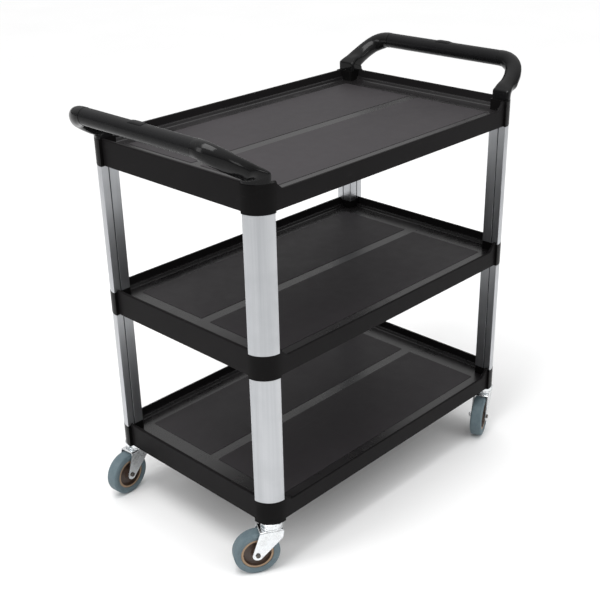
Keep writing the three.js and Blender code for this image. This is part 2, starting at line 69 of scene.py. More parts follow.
# sections through a tray's wall, from its underside over the rim to the deck: inset, height, radius
WALL = (
    (4.5, CEILING_LEVEL, 0), (4.5, SKIRT_BOTTOM, 0.8), (0, SKIRT_BOTTOM, 1.2), (0, 0, 2.2),
    (6.5, 0, 1.6), (9.6, -16.2, 0.8), (13.4, -16.7, 0.9), (15, BAND_LEVEL, 2.5), (20, BAND_LEVEL, 0),
)
LOW_WALL = (
    (4.5, CEILING_LEVEL, 0), (4.5, SKIRT_BOTTOM, 0.8), (0, SKIRT_BOTTOM, 1.2), (0, -18.5, 1.6),
    (5, -18.5, 1.2), (5.6, -20.4, 0.3), (6.3, -21.6, 0.3), (7.6, BAND_LEVEL, 1.5), (20, BAND_LEVEL, 0),
)
LEDGE_CORNER = 5                    # the glossy part of the section starts at this corner
RAMP_HIGH_INSET = 42                # the open side climbs to the rim between these insets
RAMP_LOW_INSET = 62
RAMP_SOFTNESS = 0.06
ARC_STEPS = 4                       # straight runs in a small rounding
CORNER_STEPS = 16                   # and in a quarter of a large one

PANEL_HALF_LENGTH = 344
PANEL_FRONT = -222
PANEL_BACK = 206
CENTRE_BAND_WIDTH = 26
PANEL_LEVEL = -RIM_ABOVE_DECK

COLUMN_RADIUS = 45
COLUMN_LOW = -1.5                   # column sides lie this far inboard of the upright's flats
COLUMN_INNER_RADIUS = 5
COLUMN_BOTTOM = -58.8
COLUMN_TAPER = 0.985                # outline at a column's softened ends, over its full outline
COLUMN_LOW_EDGE = 1.2
COLUMN_HIGH_EDGE = 0.8
SEAT_LEVEL = -4.5                   # uprights stand on columns cut down to this level
POCKET_RADIUS = 42.5
POCKET_LOW = 3
POCKET_DEPTH = 26
POCKET_CEILING = COLUMN_BOTTOM + POCKET_DEPTH
POCKET_CORNER_RADIUS = 2
FIT_GAP = 0.3

RIB_HALF = 1.5
RIB_LOW = -47
CROSS_RIBS = (-270, -90, 90, 270)
LONG_RIBS = (-125, 0, 125)

UPRIGHT_RADIUS = 44.6
GROOVE = (24.2, 26.8, 1.2)          # from, to, depth

GRIP_OUTBOARD = 64                  # the bar's axis, from the tray's end and above its rim
GRIP_RISE = 69
BAR_X = HALF_LENGTH + GRIP_OUTBOARD
BAR_Z = TOP_RIM + GRIP_RISE
GRIP_RADIUS = 18
GRIP_CORE_RADIUS = 13.5
LEG_END_RADIUS = 18.4
TAB_HALF_LENGTH = 20
TAB_HALF_ANGLE = 28.65
TAB_HEIGHT = 2.2
TAB_EDGE = 0.3                      # height of the pad's rim above its seat
SEAM_HALF_SPAN = 166
SEAM_DEPTH = 0.7

WHEEL_RADIUS = 50.8
TYRE_BORE = 36
TYRE_HALF = 15
AXLE_RADIUS = 4
TRAIL = 35.5
FORK_INNER_HALF = 16.8
FORK_PLATE = 2.5
FORK_TOP = 107.2
RACE_RADIUS = 24


# ---- outlines ----
def rounded(corners, closed=True, steps=ARC_STEPS):
    """Turns corners of (x, y, radius) into points, with an arc at each corner that has a radius."""
    points = []
    for i, (x, y, radius) in enumerate(corners):
        here = Vector((x, y))
        if radius == 0 or (not closed and i in (0, len(corners) - 1)):
            points.append(here)
            continue
        to_last = (Vector(corners[i - 1][:2]) - here).normalized()
        to_next = (Vector(corners[(i + 1) % len(corners)][:2]) - here).normalized()
        half_angle = to_last.angle(to_next) / 2
        reach = radius / math.tan(half_angle)
        centre = here + (to_last + to_next).normalized() * radius / math.sin(half_angle)
        start = here + to_last * reach - centre
        sweep = start.angle_signed(here + to_next * reach - centre)
        for step in range(steps + 1):
            turn = Matrix.Rotation(-sweep * step / steps, 2)
            points.append(centre + turn @ start)
    return points


def arc(radius, start, end, steps, x=0, y=0):
    """Points of an arc; angles in degrees."""
    points = []
    for step in range(steps + 1):
        angle = math.radians(start + (end - start) * step / steps)
        points.append(Vector((x + radius * math.cos(angle), y + radius * math.sin(angle))))
    return points


def quarter_outline(radius, low, inner_radius):
    """Quarter disc with its flats at `low` and a rounded inner corner."""
    reach = math.degrees(math.asin(low / radius))
    outer = arc(radius, reach, 90 - reach, CORNER_STEPS)
    inner = rounded([(*outer[-1], 0), (low, low, inner_radius), (*outer[0], 0)], closed=False)
    return inner[1:-1] + outer


def at_height(outline, height):
    return [(point[0], point[1], height) for point in outline]


# ---- meshes, in millimetres until they are made ----
def grid(rows, wrap_rows=False, wrap_columns=True):
    """Points and faces of a skin through rows of equally many points."""
    count = len(rows[0])
    points = [tuple(point) for row in rows for point in row]
    faces = []
    for r in range(len(rows) if wrap_rows else len(rows) - 1):
        above = (r + 1) % len(rows) * count
        for c in range(count if wrap_columns else count - 1):
            side = (c + 1) % count
            faces.append((r * count + c, r * count + side, above + side, above + c))
    return points, faces


def loft(rings):
    """Closed skin through rings, with a flat face at both ends."""
    points, faces = grid(rings)
    count = len(rings[0])
    faces.append(tuple(range(count)))
    faces.append(tuple(range(len(points) - count, len(points))))
    return points, faces


def extruded(outline, bottom, top):
    return loft([at_height(outline, bottom), at_height(outline, top)])


def turned(profile, steps=64):
    """Solid of revolution about Z from a closed profile of (radius, height)."""
    rows = []
    for step in range(steps):
        angle = 2 * math.pi * step / steps
        rows.append([(r * math.cos(angle), r * math.sin(angle), z) for r, z in profile])
    return grid(rows, wrap_rows=True)


def make_mesh(name, shape, material_numbers=None, sharp_angle=32):
    """A mesh in metres, shaded smooth apart from its sharp edges."""
    points, faces = shape
    mesh = bpy.data.meshes.new(name)
    mesh.from_pydata([tuple(c * MM for c in point) for point in points], [], faces)
    if material_numbers:
        mesh.polygons.foreach_set("material_index", material_numbers)
    edit = bmesh.new()
    edit.from_mesh(mesh)
    bmesh.ops.remove_doubles(edit, verts=edit.verts, dist=1e-7)
    bmesh.ops.recalc_face_normals(edit, faces=edit.faces)
    edit.to_mesh(mesh)
    edit.free()
    mesh.shade_smooth()
    mesh.set_sharp_from_angle(angle=math.radians(sharp_angle))
    return mesh


def carved(mesh, tool, operation):
    """The first mesh cut by, or cut down to, the second."""
    work = bpy.data.objects.new("work", mesh)
    cutter = bpy.data.objects.new("cutter", tool)
    for piece in (work, cutter):
        bpy.context.scene.collection.objects.link(piece)
    cut = work.modifiers.new("cut", "BOOLEAN")
    cut.operation = operation
    cut.solver = "EXACT"
    cut.object = cutter
    view = bpy.context.evaluated_depsgraph_get()
    result = bpy.data.meshes.new_from_object(work.evaluated_get(view))
    result.name = mesh.name
    for piece in (work, cutter):
        bpy.data.objects.remove(piece)
    return result


def add_piece(name, mesh, body, slot, materials, replaces=(), place=None, bevel=0.0, even_normals=True):
    """Puts a mesh in the scene as one piece of the trolley."""
    piece = bpy.data.objects.new(name, mesh)
    bpy.context.scene.collection.objects.link(piece)
    for material in materials:
        mesh.materials.append(material)
    if place:
        piece.matrix_world = place
    if bevel:
        soft = piece.modifiers.new("soft_edges", "BEVEL")
        soft.width = bevel * MM
        soft.segments = 3
        soft.limit_method = "ANGLE"
        soft.angle_limit = math.radians(40)
    if even_normals:
        normals = piece.modifiers.new("even_normals", "WEIGHTED_NORMAL")
        normals.keep_sharp = not bevel
    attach(piece, body)
    if replaces:
        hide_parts(*replaces)
    return piece


# ---- materials ----
class Look:
    """Small helper for building one procedural material."""

    def __init__(self, name, **values):
        self.material = bpy.data.materials.new(name)
        self.material.use_nodes = True
        self.tree = self.material.node_tree
        self.shader = self.tree.nodes["Principled BSDF"]
        for socket, value in values.items():
            self.shader.inputs[socket.replace("_", " ")].default_value = value
        self.place = self.tree.nodes.new("ShaderNodeTexCoord").outputs["Object"]

    def node(self, kind, **links):
        node = self.tree.nodes.new(kind)
        for socket, value in links.items():
            self.feed(node.inputs[socket.replace("_", " ")], value)
        return node

    def feed(self, socket, value):
        if isinstance(value, bpy.types.NodeSocket):
            self.tree.links.new(value, socket)
        else:
            socket.default_value = value

    def noise(self, scale, detail=4.0, rough=0.55, stretch=(1, 1, 1)):
        place = self.place
        if stretch != (1, 1, 1):
            place = self.node("ShaderNodeMapping", Vector=place, Scale=stretch).outputs["Vector"]
        return self.node(
            "ShaderNodeTexNoise", Vector=place, Scale=scale, Detail=detail, Roughness=rough
        ).outputs["Fac"]

    def spread(self, value, low, high, start=0.3, end=0.7):
        """Maps a value between start and end onto low to high."""
        return self.node(
            "ShaderNodeMapRange", Value=value, From_Min=start, From_Max=end, To_Min=low, To_Max=high
        ).outputs["Result"]

    def blend(self, amount, first, second):
        mix = self.tree.nodes.new("ShaderNodeMix")
        mix.data_type = "RGBA"
        self.feed(mix.inputs["Factor"], amount)
        self.feed(mix.inputs[6], first if not isinstance(first, tuple) else (*first, 1))
        self.feed(mix.inputs[7], second if not isinstance(second, tuple) else (*second, 1))
        return mix.outputs[2]

    def sum(self, first, second, operation="ADD"):
        math_node = self.tree.nodes.new("ShaderNodeMath")
        math_node.operation = operation
        self.feed(math_node.inputs[0], first)
        self.feed(math_node.inputs[1], second)
        return math_node.outputs[0]

    def colour(self, value):
        self.feed(self.shader.inputs["Base Color"], value)

    def roughness(self, value):
        self.feed(self.shader.inputs["Roughness"], value)

    def bump(self, height, strength, distance):
        bump = self.node("ShaderNodeBump", Strength=strength, Distance=distance * MM, Height=height)
        self.feed(self.shader.inputs["Normal"], bump.outputs["Normal"])


def scratches(look, scale, stretch):
    """Thin light lines along one direction."""
    lines = look.noise(scale, detail=2, rough=0.4, stretch=stretch)
    return look.spread(lines, 0, 1, 0.66, 0.74)


def moulded_plastic(name, dark, light, rough_low, rough_high, grain_scale, grain_height, scuff, shine):
    """Black moulding with cloudy gloss, fine grain and a few light scuffs."""
    look = Look(name, Specular_IOR_Level=shine)
    clouds = look.noise(5, detail=5)
    patches = look.noise(34, detail=4)
    tone = look.blend(look.spread(clouds, 0, 1), dark, light)
    marks = look.sum(scratches(look, 9, (1, 22, 22)), scratches(look, 11, (24, 1, 24)), "MAXIMUM")
    marks = look.sum(marks, look.spread(patches, 0, 1, 0.5, 0.62), "MULTIPLY")
    worn = tuple(channel * 2.4 + 0.006 for channel in light)
    look.colour(look.blend(look.sum(marks, scuff, "MULTIPLY"), tone, worn))
    mottle = look.sum(clouds, look.sum(patches, 0.5, "MULTIPLY"))
    rough = look.spread(mottle, rough_low, rough_high, 0.55, 0.95)
    look.roughness(look.sum(rough, look.sum(marks, 0.12, "MULTIPLY")))
    look.bump(look.noise(grain_scale, detail=3, rough=0.6), 0.35, grain_height)
    return look.material


def aluminium(name, dark, light, smudged):
    """Satin anodised extrusion with faint lines along its length."""
    look = Look(name, Metallic=1.0)
    lines = look.noise(900, detail=3, rough=0.6, stretch=(1, 1, 0.004))
    broad = look.noise(46, detail=2, stretch=(1, 1, 0.02))
    smudges = look.noise(9, detail=4)
    tone = look.blend(look.spread(broad, 0, 1), dark, light)
    tone = look.blend(look.spread(lines, 0, 0.5), tone, light)
    look.colour(look.blend(look.spread(smudges, 0, 0.35, 0.45, 0.7), tone, smudged))
    look.roughness(look.sum(look.spread(broad, 0.3, 0.4), look.spread(smudges, -0.03, 0.05)))
    look.bump(lines, 0.25, 0.03)
    return look.material


def zinc():
    """Bright zinc plate with a mottled gloss and slight dullness in places."""
    look = Look("zinc_plate", Metallic=1.0)
    mottle = look.noise(160, detail=4, rough=0.6)
    cloud = look.noise(38, detail=3)
    tone = look.blend(look.spread(mottle, 0, 1), (0.68, 0.70, 0.72), (0.80, 0.82, 0.83))
    look.colour(look.blend(look.spread(cloud, 0, 0.5, 0.5, 0.75), tone, (0.50, 0.50, 0.49)))
    look.roughness(look.sum(look.spread(mottle, 0.16, 0.26), look.spread(cloud, 0, 0.08)))
    look.bump(mottle, 0.2, 0.04)
    return look.material


def dark_steel():
    """Oil-darkened steel of the axle bolts."""
    look = Look("dark_steel", Metallic=0.9)
    mottle = look.noise(220, detail=4)
    look.colour(look.blend(look.spread(mottle, 0, 1), (0.06, 0.055, 0.05), (0.13, 0.12, 0.11)))
    look.roughness(look.spread(mottle, 0.3, 0.45))
    look.bump(mottle, 0.3, 0.05)
    return look.material


def tyre_rubber():
    """Grey-blue rubber with dust on it."""
    look = Look("grey_rubber")
    look.shader.inputs["Specular IOR Level"].default_value = 0.4
    dust = look.noise(60, detail=5, rough=0.65)
    fine = look.noise(700, detail=3)
    tone = look.blend(look.spread(dust, 0, 1), (0.085, 0.125, 0.145), (0.13, 0.175, 0.195))
    look.colour(look.blend(look.spread(fine, 0, 0.3, 0.5, 0.8), tone, (0.2, 0.22, 0.22)))
    look.roughness(look.spread(dust, 0.55, 0.75))
    look.bump(fine, 0.3, 0.12)
    return look.material


def hub_plastic(name, dark, light):
    look = Look(name)
    mottle = look.noise(120, detail=4)
    look.colour(look.blend(look.spread(mottle, 0, 1), dark, light))
    look.roughness(look.spread(mottle, 0.38, 0.55))
    look.bump(look.noise(900, detail=2), 0.25, 0.06)
    return look.material


TRAY_PLASTIC = moulded_plastic(
    "tray_plastic", (0.0068, 0.0063, 0.0066), (0.0100, 0.0092, 0.0096), 0.34, 0.46, 1500, 0.05, 0.4, 0.04)
BAND_PLASTIC = moulded_plastic(
    "deck_band_plastic", (0.0100, 0.0092, 0.0098), (0.0140, 0.0130, 0.0137),
    0.22, 0.32, 1100, 0.02, 0.3, 0.55)
PANEL_PLASTIC = moulded_plastic(
    "deck_panel_plastic", (0.0210, 0.0188, 0.0206), (0.0300, 0.0268, 0.0293),
    0.44, 0.56, 1300, 0.14, 0.35, 0.18)
COLUMN_PLASTIC = moulded_plastic(
    "column_plastic", (0.0040, 0.0037, 0.0038), (0.0058, 0.0054, 0.0055), 0.27, 0.36, 1500, 0.03, 0.3, 0.05)
HANDLE_PLASTIC = moulded_plastic(
    "handle_plastic", (0.0045, 0.0045, 0.0047), (0.0062, 0.0062, 0.0065), 0.13, 0.2, 1400, 0.02, 0.3, 0.16)
GRIP_PLASTIC = moulded_plastic(
    "grip_plastic", (0.0058, 0.0058, 0.0062), (0.0080, 0.0080, 0.0085), 0.22, 0.32, 1600, 0.05, 0.3, 0.1)
SOCKET_PLASTIC = moulded_plastic(
    "socket_plastic", (0.0150, 0.0150, 0.0155), (0.0200, 0.0200, 0.0205), 0.45, 0.6, 1200, 0.1, 0.3, 0.3)
ALUMINIUM = aluminium(
    "satin_aluminium", (0.36, 0.37, 0.385), (0.49, 0.50, 0.515), (0.33, 0.34, 0.355))
# Darkened copy of the satin aluminium for the groove faces: its dark colours are painted shade in the groove.
GROOVE_PAINTED_SHADE = aluminium(
    "groove_painted_shade", (0.06, 0.063, 0.068), (0.09, 0.094, 0.1), (0.05, 0.052, 0.056))
ZINC = zinc()
DARK_STEEL = dark_steel()
RUBBER = tyre_rubber()
HUB_BROWN = hub_plastic("hub_brown", (0.045, 0.026, 0.018), (0.075, 0.045, 0.030))
HUB_TAN = hub_plastic("hub_tan", (0.26, 0.17, 0.10), (0.34, 0.23, 0.14))


# ---- trays ----
def lowness(x):
    """0 where the front wall stands at full height, 1 where it is cut down, with soft bends between."""
    t = (HALF_LENGTH - RAMP_HIGH_INSET - abs(x)) / (RAMP_LOW_INSET - RAMP_HIGH_INSET)
    return (math.hypot(t, RAMP_SOFTNESS) - math.hypot(t - 1, RAMP_SOFTNESS) + 1) / 2


def tray_stations():
    """Once round a tray: (x, y) of the corner centre, outward direction, lowness of the wall."""
    reach_x = HALF_LENGTH - TRAY_CORNER_RADIUS
    reach_y = HALF_WIDTH - TRAY_CORNER_RADIUS
    stations = []
    for quarter, (side_x, side_y) in enumerate(((1, 1), (-1, 1), (-1, -1), (1, -1))):
        for step in range(CORNER_STEPS + 1):
            angle = (quarter + step / CORNER_STEPS) * math.pi / 2
            stations.append((side_x * reach_x, side_y * reach_y, math.cos(angle), math.sin(angle), 0))
        if side_x == -1 and side_y == -1:
            ramp = [HALF_LENGTH - RAMP_HIGH_INSET + 4 - 2 * step for step in range(15)]
            ramp = [x for x in ramp if x < reach_x]
            stations += [(-x, -reach_y, 0, -1, lowness(x)) for x in ramp]
            stations += [(x, -reach_y, 0, -1, lowness(x)) for x in reversed(ramp)]
    return stations


def tray_shell(rim):
    """Walls, underside and deck of a tray in one skin; the deck and the ledge are glossier."""
    wall = rounded(WALL, closed=False)
    low_wall = rounded(LOW_WALL, closed=False)
    rows = []
    for x, y, out_x, out_y, low in tray_stations():
        row = []
        for high_point, low_point in zip(wall, low_wall):
            inset, height = high_point.lerp(low_point, low)
            reach = TRAY_CORNER_RADIUS - inset
            row.append((x + out_x * reach, y + out_y * reach, rim + height))
        rows.append(row)
    points, faces = grid(rows, wrap_rows=True, wrap_columns=False)
    last = len(wall) - 1
    ledge = 1 + (LEDGE_CORNER - 1) * (ARC_STEPS + 1) + ARC_STEPS // 2
    numbers = [int(i % last >= ledge) for i in range(len(faces))]
    faces.append(tuple(r * len(wall) for r in range(len(rows))))
    faces.append(tuple(r * len(wall) + last for r in range(len(rows))))
    return (points, faces), numbers + [0, 1]


def deck_panel(front, back, rim):
    """Raised textured panel with soft upper edges."""
    edge = 0.7
    corner = 2.5

    def ring(inset, height):
        x = PANEL_HALF_LENGTH - inset
        corners = [
            (x, front + inset, corner), (x, back - inset, corner),
            (-x, back - inset, corner), (-x, front + inset, corner),
        ]
        return at_height(rounded(corners), rim + height)

    return loft([
        ring(0, BAND_LEVEL - 1), ring(0, PANEL_LEVEL - 0.45), ring(0.15, PANEL_LEVEL - 0.15),
        ring(edge, PANEL_LEVEL),
    ])


def placed(shape, corner):
    """A shape drawn at the column's inner edge, moved to one of the corners."""
    x, y = corner
    points, faces = shape
    return [(x * (COLUMN_X + u), y * (COLUMN_Y + v), z) for u, v, z in points], faces


def column(tray, corner):
    """Corner column of a tray; the bottom tray's columns are hollow below for the casters."""
    rim = TRAYS[tray]
    top = rim if tray == "top_tray" else rim + SEAT_LEVEL
    outline = quarter_outline(COLUMN_RADIUS, COLUMN_LOW, COLUMN_INNER_RADIUS)
    small = [point * COLUMN_TAPER for point in outline]
    rings = [
        at_height(small, rim + COLUMN_BOTTOM), at_height(outline, rim + COLUMN_BOTTOM + COLUMN_LOW_EDGE),
        at_height(outline, top - COLUMN_HIGH_EDGE), at_height(small, top),
    ]
    if tray == "bottom_tray":
        pocket = quarter_outline(POCKET_RADIUS, POCKET_LOW, POCKET_CORNER_RADIUS)
        rings = [at_height(pocket, rim + POCKET_CEILING), at_height(pocket, rim + COLUMN_BOTTOM), *rings]
    return make_mesh(f"{tray}_column", placed(loft(rings), corner))


def rib_grid(rim):
    """Crossing ribs under a deck, as one closed shape."""
    wall_inset = 2.5

    def lines(ribs, reach):
        edges = [-reach, reach]
        for rib in ribs:
            edges += [rib - RIB_HALF, rib + RIB_HALF]
        return sorted(edges)

    xs = lines(CROSS_RIBS, HALF_LENGTH - wall_inset)
    ys = lines(LONG_RIBS, HALF_WIDTH - wall_inset)

    def is_rib(i, j):
        inside = 0 <= i < len(xs) - 1 and 0 <= j < len(ys) - 1
        return inside and (i % 2 == 1 or j % 2 == 1)

    points = [(x, y, rim + z) for z in (RIB_LOW, CEILING_LEVEL) for x in xs for y in ys]

    def number(i, j, level):
        return (level * len(xs) + i) * len(ys) + j

    faces = []
    for i in range(len(xs) - 1):
        for j in range(len(ys) - 1):
            if not is_rib(i, j):
                continue
            square = [(i, j), (i + 1, j), (i + 1, j + 1), (i, j + 1)]
            faces.append(tuple(number(a, b, 0) for a, b in square))
            faces.append(tuple(number(a, b, 1) for a, b in square))
            neighbours = [(i, j - 1), (i + 1, j), (i, j + 1), (i - 1, j)]
            for side, (ni, nj) in enumerate(neighbours):
                if is_rib(ni, nj):
                    continue
                (a, b), (c, d) = square[side], square[(side + 1) % 4]
                faces.append((number(a, b, 0), number(c, d, 0), number(c, d, 1), number(a, b, 1)))
    return points, faces


def add_tray(tray, rim):
    shape, numbers = tray_shell(rim)
    mesh = make_mesh(f"{tray}_shell", shape, numbers)
    add_piece(f"{tray}_shell", mesh, "frame", "tray_plastic", [TRAY_PLASTIC, BAND_PLASTIC], [tray])
    middle = (PANEL_FRONT + PANEL_BACK) / 2
    halves = {
        "front": (PANEL_FRONT, middle - CENTRE_BAND_WIDTH / 2),
        "back": (middle + CENTRE_BAND_WIDTH / 2, PANEL_BACK),
    }
    for half, (front, back) in halves.items():
        mesh = make_mesh(f"{tray}_panel", deck_panel(front, back, rim))
        add_piece(f"{tray}_panel_{half}", mesh, "frame", "tray_plastic", [PANEL_PLASTIC])
    for name, corner in CORNERS.items():
        mesh = column(tray, corner)
        add_piece(f"{tray}_column_{name}", mesh, "frame", "tray_plastic", [COLUMN_PLASTIC])
    mesh = make_mesh(f"{tray}_ribs", rib_grid(rim))
    add_piece(f"{tray}_ribs", mesh, "frame", "tray_plastic", [TRAY_PLASTIC], bevel=0.4)


# ---- uprights ----
def upright_outline():
    start, end, depth = GROOVE
    lip, floor, edge = 0.35, 0.25, 1.3
    radius = UPRIGHT_RADIUS
    first = [
        (0, 0, edge), (start, 0, lip), (start, depth, floor), (end, depth, floor), (end, 0, lip),
        (radius, 0, edge),
    ]
    curve = [(*point, 0) for point in arc(radius, 0, 90, CORNER_STEPS)[1:-1]]
    second = [(y, x, r) for x, y, r in reversed(first[1:])]
    return rounded(first + curve + second)


def in_groove(point):
    """Whether the middle of an outline's edge lies on a groove's floor or sides."""
    start, end, depth = GROOVE
    near, far = sorted(point)
    return 0.1 < near < depth + 0.1 and start - 0.2 < far < end + 0.2


def add_upright(level, lower, upper, name, corner):
    bottom = TRAYS[lower] + SEAT_LEVEL + FIT_GAP
    top = TRAYS[upper] + COLUMN_BOTTOM - FIT_GAP
    node = f"upright_{level}_{name}"
    outline = upright_outline()
    edges = zip(outline, outline[1:] + outline[:1])
    # Faces on the groove's floor and sides take the second, darker material, which is painted shade in the
    # groove.
    numbers = [int(in_groove((here + ahead) / 2)) for here, ahead in edges]
    mesh = make_mesh(node, placed(extruded(outline, bottom, top), corner), numbers + [0, 0])
    add_piece(f"{node}_extrusion", mesh, "frame", "upright_aluminium", [ALUMINIUM, GROOVE_PAINTED_SHADE], [node])


# ---- handles ----
# One leg of a handle, foot first: outboard of the tray's end, distance from the middle, rise above
# the rim, half size across, half size along, squareness, radius of the outer corner, tilt in degrees.
FOOT_STATIONS = (
    (-12.25, 234.25, FIT_GAP, 19.25, 23.25, 10, 44, 0),
    (-12.25, 234.25, 11, 20.3, 23.25, 10, 44, 18.7),
    (-11.7, 234.2, 13.3, 20.3, 22.8, 8, 42, 22.3),
    (-9.05, 233.5, 16.05, 19, 21.9, 6, 38, 29.9),
    (-3, 231, 20.8, 16.7, 20, 4, 26, 52.2),
)
LEG_STATIONS = (
    (12, 228, 30, 16, 19.5, 3, 8),
    (31, 222.5, 42, 16.5, 19.5, 2.6, 0),
    (47.5, 213, 53.5, 17, 20, 2.3, 0),
    (56.5, 202, 60.5, 17.5, 20.5, 2.1, 0),
    (62, 189, 65.5, 18, 20, 2, 0),
    (GRIP_OUTBOARD, 177, 68.3, LEG_END_RADIUS, 19, 2, 0),
    (GRIP_OUTBOARD, SEAM_HALF_SPAN + FIT_GAP, GRIP_RISE, LEG_END_RADIUS, LEG_END_RADIUS, 2, 0),
)
RING_POINTS = 48
FOOT_BLOCK_ROWS = 3                 # the upright block of the foot ends at the third station
FOOT_BLOCK_STEPS = 2
BEND_STEPS = 6


def ring_reach(c, s, half_across, half_along, squareness, corner_radius):
    """Distance from a ring's centre to its edge in direction (c, s)."""
    reach = (abs(c / half_across) ** squareness + abs(s / half_along) ** squareness) ** (-1 / squareness)
    q = (half_across - corner_radius, half_along - corner_radius)
    forward = c * q[0] + s * q[1]
    under = forward ** 2 - q[0] ** 2 - q[1] ** 2 + corner_radius ** 2
    if corner_radius <= 0 or under <= 0:
        return reach
    to_circle = forward + math.sqrt(under)
    on_corner = to_circle > 0 and to_circle * c > q[0] and to_circle * s > q[1]
    return min(reach, to_circle) if on_corner else reach


def leg_ring(centre, across, along, sizes):
    ring = []
    for k in range(RING_POINTS):
        angle = (k + 0.5) * 2 * math.pi / RING_POINTS
        c, s = math.cos(angle), math.sin(angle)
        ring.append(centre + (across * c + along * s) * ring_reach(c, s, *sizes))
    return ring


def smooth_between(values, steps):
    """Extra rows between rows of numbers, on a curve through them."""
    rows = []
    for i in range(len(values) - 1):
        p0, p1, p2, p3 = [values[min(max(i + k, 0), len(values) - 1)] for k in (-1, 0, 1, 2)]
        for step in range(steps):
            t = step / steps
            rows.append([
                b + t * ((c - a) + t * ((2 * a - 5 * b + 4 * c - d) + t * (3 * (b - c) + d - a))) / 2
                for a, b, c, d in zip(p0, p1, p2, p3)
            ])
    rows.append(list(values[-1]))
    return rows


def leg_frames():
    """Rows of centre, across direction, along direction and sizes, foot first."""
    rows = []
    for out, y, rise, half_across, half_along, squareness, corner, tilt in FOOT_STATIONS:
        angle = math.radians(tilt)
        across = Vector((math.cos(angle), 0, -math.sin(angle)))
        rows.append([out, y, rise, *across, 0, 1, 0, half_across, half_along, squareness, corner])
    centres = [Vector(station[:3]) for station in (FOOT_STATIONS[-1], *LEG_STATIONS)]
    for i, (out, y, rise, half_across, half_along, squareness, corner) in enumerate(LEG_STATIONS, 1):
        ahead = centres[min(i + 1, len(centres) - 1)] - centres[i - 1]
        tangent = ahead.normalized() if i < len(LEG_STATIONS) - 1 else Vector((0, -1, 0))
        across = Vector((1, 0, 0)) - tangent * tangent.x
        across = across.normalized()
        along = tangent.cross(across)
        rows.append([out, y, rise, *across, *along, half_across, half_along, squareness, corner])
    return rows


def leg_rings():
    frames = leg_frames()
    block = smooth_between(frames[:FOOT_BLOCK_ROWS], FOOT_BLOCK_STEPS)[:-1]
    bend = smooth_between(frames, BEND_STEPS)[(FOOT_BLOCK_ROWS - 1) * BEND_STEPS:]
    rings = []
    for row in block + bend:
        out = min(row[0], GRIP_OUTBOARD)
        centre = Vector((HALF_LENGTH + out, row[1], TOP_RIM + row[2]))
        across, along = Vector(row[3:6]).normalized(), Vector(row[6:9]).normalized()
        rings.append(leg_ring(centre, across, along, row[9:13]))
    return rings


def bar_ring(y, radius):
    return leg_ring(Vector((BAR_X, y, BAR_Z)), Vector((1, 0, 0)), Vector((0, 0, 1)), (radius, radius, 2, 0))


def handle_shape(side):
    """Both legs, with the core of the grip between them."""
    leg = leg_rings()
    leg.append(bar_ring(SEAM_HALF_SPAN + 0.1, LEG_END_RADIUS - SEAM_DEPTH))
    leg.append(bar_ring(SEAM_HALF_SPAN, GRIP_CORE_RADIUS))
    mirrored = [[(x, -y, z) for x, y, z in ring] for ring in reversed(leg)]
    points, faces = loft(leg + mirrored)
    return [(x * side, y, z) for x, y, z in points], faces


def grip_shape(side):
    half = SEAM_HALF_SPAN - FIT_GAP
    profile = rounded([
        (GRIP_CORE_RADIUS + FIT_GAP, -half, 0), (GRIP_RADIUS, -half, 0.8),
        (GRIP_RADIUS, half, 0.8), (GRIP_CORE_RADIUS + FIT_GAP, half, 0),
    ])
    points, faces = turned(profile)
    return [(side * BAR_X + x, z, BAR_Z + y) for x, y, z in points], faces


def tab_shape(side):
    """Low pad on top of the grip, crowned both ways."""
    steps = 12
    inner = GRIP_RADIUS + FIT_GAP
    under = arc(inner, 90 - TAB_HALF_ANGLE, 90 + TAB_HALF_ANGLE, 2 * steps)
    rings = []
    for i in range(-steps, steps + 1):
        outline = list(under)
        for k in range(steps, -steps - 1, -1):
            crown = (1 - (i / steps) ** 4) * (1 - (k / steps) ** 4)
            radius = inner + TAB_EDGE + (TAB_HEIGHT - FIT_GAP - TAB_EDGE) * crown
            angle = math.radians(90 + TAB_HALF_ANGLE * k / steps)
            outline.append(Vector((radius * math.cos(angle), radius * math.sin(angle))))
        y = TAB_HALF_LENGTH * i / steps
        rings.append([(side * BAR_X + x, y, BAR_Z + z) for x, z in outline])
    return loft(rings)


def add_handle(name, side):
    node = f"handle_{name}"
    mesh = make_mesh(node, handle_shape(side), sharp_angle=50)
    add_piece(
        f"{node}_moulding", mesh, "frame", "handle_plastic", [HANDLE_PLASTIC], [node], even_normals=False)
    mesh = make_mesh(f"grip_{name}", grip_shape(side))
    add_piece(f"grip_{name}_sleeve", mesh, "frame", "grip_plastic", [GRIP_PLASTIC], [f"grip_{name}"])
    mesh = make_mesh(f"grip_tab_{name}", tab_shape(side))
    add_piece(f"grip_tab_{name}_pad", mesh, "frame", "handle_plastic", [GRIP_PLASTIC], [f"grip_tab_{name}"])


# ---- casters, drawn with the swivel axis on Z and the wheel trailing along +X ----
def on_axle(shape):
    """Lays a shape drawn about Z onto the wheel's axle, with its top towards -Y."""
    points, faces = shape
    return [(TRAIL + x, -z, WHEEL_RADIUS + y) for x, y, z in points], faces


def stem_shape():
    """Kingpin with its riveted head, and the pressed cup above the race."""
    cup_bottom = 113
    cup_top = TRAYS["bottom_tray"] + COLUMN_BOTTOM - FIT_GAP
    pin_top = cup_top + 24.3
    pin = 5.6
    return turned(rounded([
        (0, 99.4, 0), (9.5, 99.4, 2), (9.5, 104.4, 0.5), (pin, 104.4, 0), (pin, cup_bottom, 0),
        (RACE_RADIUS, cup_bottom, 1.6), (RACE_RADIUS, cup_top - 3, 2.2), (20.5, cup_top, 1.2),
        (pin, cup_top, 0), (pin, pin_top, 1), (0, pin_top, 0),
    ]))


